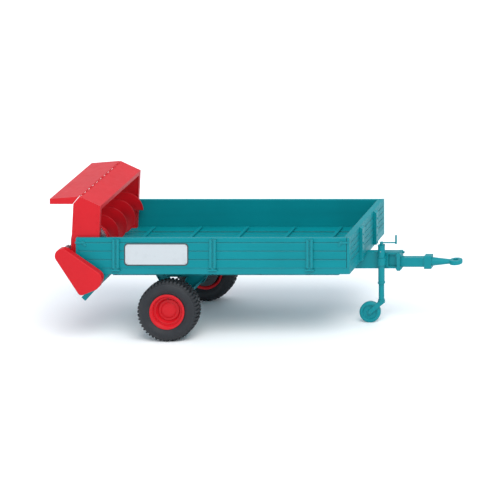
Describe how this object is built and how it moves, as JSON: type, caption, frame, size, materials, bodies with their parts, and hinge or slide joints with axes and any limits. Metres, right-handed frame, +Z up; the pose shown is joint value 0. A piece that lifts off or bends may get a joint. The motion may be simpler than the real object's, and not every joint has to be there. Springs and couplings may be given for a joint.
{
  "type": "manure spreader trailer",
  "caption": "Single-axle drop-side manure spreader with a scraper floor, rear auger beater under a hood, ring-eye drawbar and screw jack.",
  "frame": {"origin": "on the ground, half way between the visor's tail and the tow eye's tip, on the centre line of the overall width", "axes": "+X forward to the tow eye, +Y to the machine's left, +Z up"},
  "size_m": [5.523, 1.9631, 1.998],
  "materials": {
    "teal_paint": "satin enamel",
    "teal_boards": "painted planks",
    "red_paint": "gloss enamel",
    "tyre_rubber": "matt moulded rubber",
    "bare_steel": "turned steel",
    "zinc_steel": "zinc plated",
    "oiled_steel": "oiled dark steel",
    "cast_iron": "painted casting"
  },
  "bodies": {
    "chassis": {"bed_sills": "teal_paint", "cross_members": "teal_paint", "headboard_posts": "teal_paint", "corner_posts": "teal_paint", "side_hinges": "teal_paint", "chassis_rails": "teal_paint", "axle_beam": "teal_paint", "axle_brackets": "teal_paint", "drawbar_beam": "teal_paint", "drawbar_front": "teal_paint", "tow_collar": "teal_paint", "jack_clamp": "teal_paint", "jack_outer_tube": "teal_paint", "rear_underrun_bar": "teal_paint", "flange_bolts": "teal_paint", "floor_boards": "teal_boards", "headboard": "teal_boards", "hood_side_right": "red_paint", "hood_side_left": "red_paint", "hood_roof": "red_paint", "chain_case_back": "red_paint", "chain_case_cover": "red_paint", "wheel_bearings": "bare_steel", "visor_pins": "zinc_steel", "floor_chains": "oiled_steel", "drive_chain": "oiled_steel", "gearbox": "cast_iron", "floor_gearbox": "cast_iron", "flange_bearings": "cast_iron"},
    "wheel_right": {"hub_right": "red_paint", "rim_right": "red_paint", "tyre_right": "tyre_rubber", "wheel_cap_right": "red_paint"},
    "wheel_left": {"hub_left": "red_paint", "rim_left": "red_paint", "tyre_left": "tyre_rubber", "wheel_cap_left": "red_paint"},
    "drop_right": {"drop_side_right": "teal_boards", "side_straps_right": "teal_paint"},
    "drop_left": {"drop_side_left": "teal_boards", "side_straps_left": "teal_paint"},
    "front_latch_right": {"latch_front_right": "teal_paint"},
    "front_latch_left": {"latch_front_left": "teal_paint"},
    "rear_latch_right": {"latch_rear_right": "teal_paint"},
    "rear_latch_left": {"latch_rear_left": "teal_paint"},
    "feed_slats": {"floor_slats": "teal_paint"},
    "back_slats": {"return_slats": "teal_paint"},
    "feed_shaft": {"floor_drive_shaft": "bare_steel"},
    "idler": {"front_idler_shaft": "bare_steel"},
    "hitch_eye": {"tow_eye": "teal_paint"},
    "jack_leg": {"jack_inner_tube": "teal_paint"},
    "crank": {"jack_crank": "teal_paint"},
    "fork": {"jockey_fork": "teal_paint"},
    "jack_roller": {"jockey_wheel": "teal_paint"},
    "visor": {"rear_visor": "red_paint"},
    "cross": {"cross_shaft": "bare_steel"},
    "pinion": {"jackshaft": "bare_steel"},
    "auger": {"beater": "red_paint", "beater_gear": "bare_steel"},
    "pto": {"pto_shaft": "bare_steel"}
  },
  "joints": [
    {"name": "wheel_spin_right", "type": "hinge", "parent": "chassis", "child": "wheel_right", "pos_m": [-1.0985, -0.8255, 0.418], "axis": [0, 1, 0], "continuous": true},
    {"name": "wheel_spin_left", "type": "hinge", "parent": "chassis", "child": "wheel_left", "pos_m": [-1.0985, 0.8255, 0.418], "axis": [0, 1, 0], "continuous": true},
    {"name": "side_drop_right", "type": "hinge", "parent": "chassis", "child": "drop_right", "pos_m": [-0.4765, -0.8885, 0.984], "axis": [1, 0, 0], "range_deg": [0, 6]},
    {"name": "side_drop_left", "type": "hinge", "parent": "chassis", "child": "drop_left", "pos_m": [-0.4765, 0.8885, 0.984], "axis": [-1, 0, 0], "range_deg": [0, 100]},
    {"name": "latch_turn_front_right", "type": "hinge", "parent": "drop_right", "child": "front_latch_right", "pos_m": [1.3015, -0.88, 1.366], "axis": [0, -1, 0], "range_deg": [0, 90]},
    {"name": "latch_turn_rear_right", "type": "hinge", "parent": "drop_right", "child": "rear_latch_right", "pos_m": [-2.2775, -0.88, 1.366], "axis": [0, 1, 0], "range_deg": [0, 90]},
    {"name": "latch_turn_front_left", "type": "hinge", "parent": "drop_left", "child": "front_latch_left", "pos_m": [1.3015, 0.88, 1.366], "axis": [0, -1, 0], "range_deg": [0, 90]},
    {"name": "latch_turn_rear_left", "type": "hinge", "parent": "drop_left", "child": "rear_latch_left", "pos_m": [-2.2775, 0.88, 1.366], "axis": [0, 1, 0], "range_deg": [0, 90]},
    {"name": "floor_feed", "type": "slide", "parent": "chassis", "child": "feed_slats", "axis": [-1, 0, 0], "range_m": [0, 0.25]},
    {"name": "floor_return", "type": "slide", "parent": "chassis", "child": "back_slats", "axis": [1, 0, 0], "range_m": [0, 0.25]},
    {"name": "floor_drive_turn", "type": "hinge", "parent": "chassis", "child": "feed_shaft", "pos_m": [-2.0815, 0, 0.968], "axis": [0, -1, 0], "range_deg": [0, 240]},
    {"name": "idler_turn", "type": "hinge", "parent": "chassis", "child": "idler", "pos_m": [1.2485, 0, 0.968], "axis": [0, -1, 0], "range_deg": [0, 240]},
    {"name": "eye_swivel", "type": "hinge", "parent": "chassis", "child": "hitch_eye", "pos_m": [2.3185, 0, 0.815], "axis": [1, 0, 0], "continuous": true},
    {"name": "crank_turn", "type": "hinge", "parent": "chassis", "child": "crank", "pos_m": [1.6515, -0.118, 1.118], "axis": [0, 0, 1], "range_deg": [0, 6600]},
    {"name": "leg_lift", "type": "slide", "parent": "chassis", "child": "jack_leg", "axis": [0, 0, 1], "range_m": [0, 0.22]},
    {"name": "fork_swivel", "type": "hinge", "parent": "jack_leg", "child": "fork", "pos_m": [1.6515, -0.118, 0.28], "axis": [0, 0, 1], "continuous": true},
    {"name": "roller_spin", "type": "hinge", "parent": "fork", "child": "jack_roller", "pos_m": [1.4935, -0.118, 0.147], "axis": [0, 1, 0], "continuous": true},
    {"name": "visor_lift", "type": "hinge", "parent": "chassis", "child": "visor", "pos_m": [-2.3485, 0, 1.99], "axis": [0, 1, 0], "range_deg": [0, 60]},
    {"name": "cross_turn", "type": "hinge", "parent": "chassis", "child": "cross", "pos_m": [-2.18874, 0, 0.87207], "axis": [0, 1, 0], "continuous": true},
    {"name": "pinion_turn", "type": "hinge", "parent": "chassis", "child": "pinion", "pos_m": [-2.5305, 0, 1.219], "axis": [0, 1, 0], "continuous": true},
    {"name": "beater_turn", "type": "hinge", "parent": "chassis", "child": "auger", "pos_m": [-2.2485, 0, 1.33254], "axis": [0, 1, 0], "continuous": true},
    {"name": "pto_turn", "type": "hinge", "parent": "chassis", "child": "pto", "pos_m": [-0.5815, 0.2, 0.745], "axis": [1, 0, 0], "continuous": true}
  ],
  "couplings": [
    {"joint": "floor_return", "follows": "floor_feed", "ratio": 1},
    {"joint": "floor_drive_turn", "follows": "floor_feed", "rad_per_m": 16.667},
    {"joint": "idler_turn", "follows": "floor_feed", "rad_per_m": 16.667},
    {"joint": "leg_lift", "follows": "crank_turn", "m_per_rad": 0.0019099},
    {"joint": "pinion_turn", "follows": "cross_turn", "ratio": 2},
    {"joint": "beater_turn", "follows": "cross_turn", "ratio": -0.4918},
    {"joint": "pto_turn", "follows": "cross_turn", "ratio": 1}
  ]
}
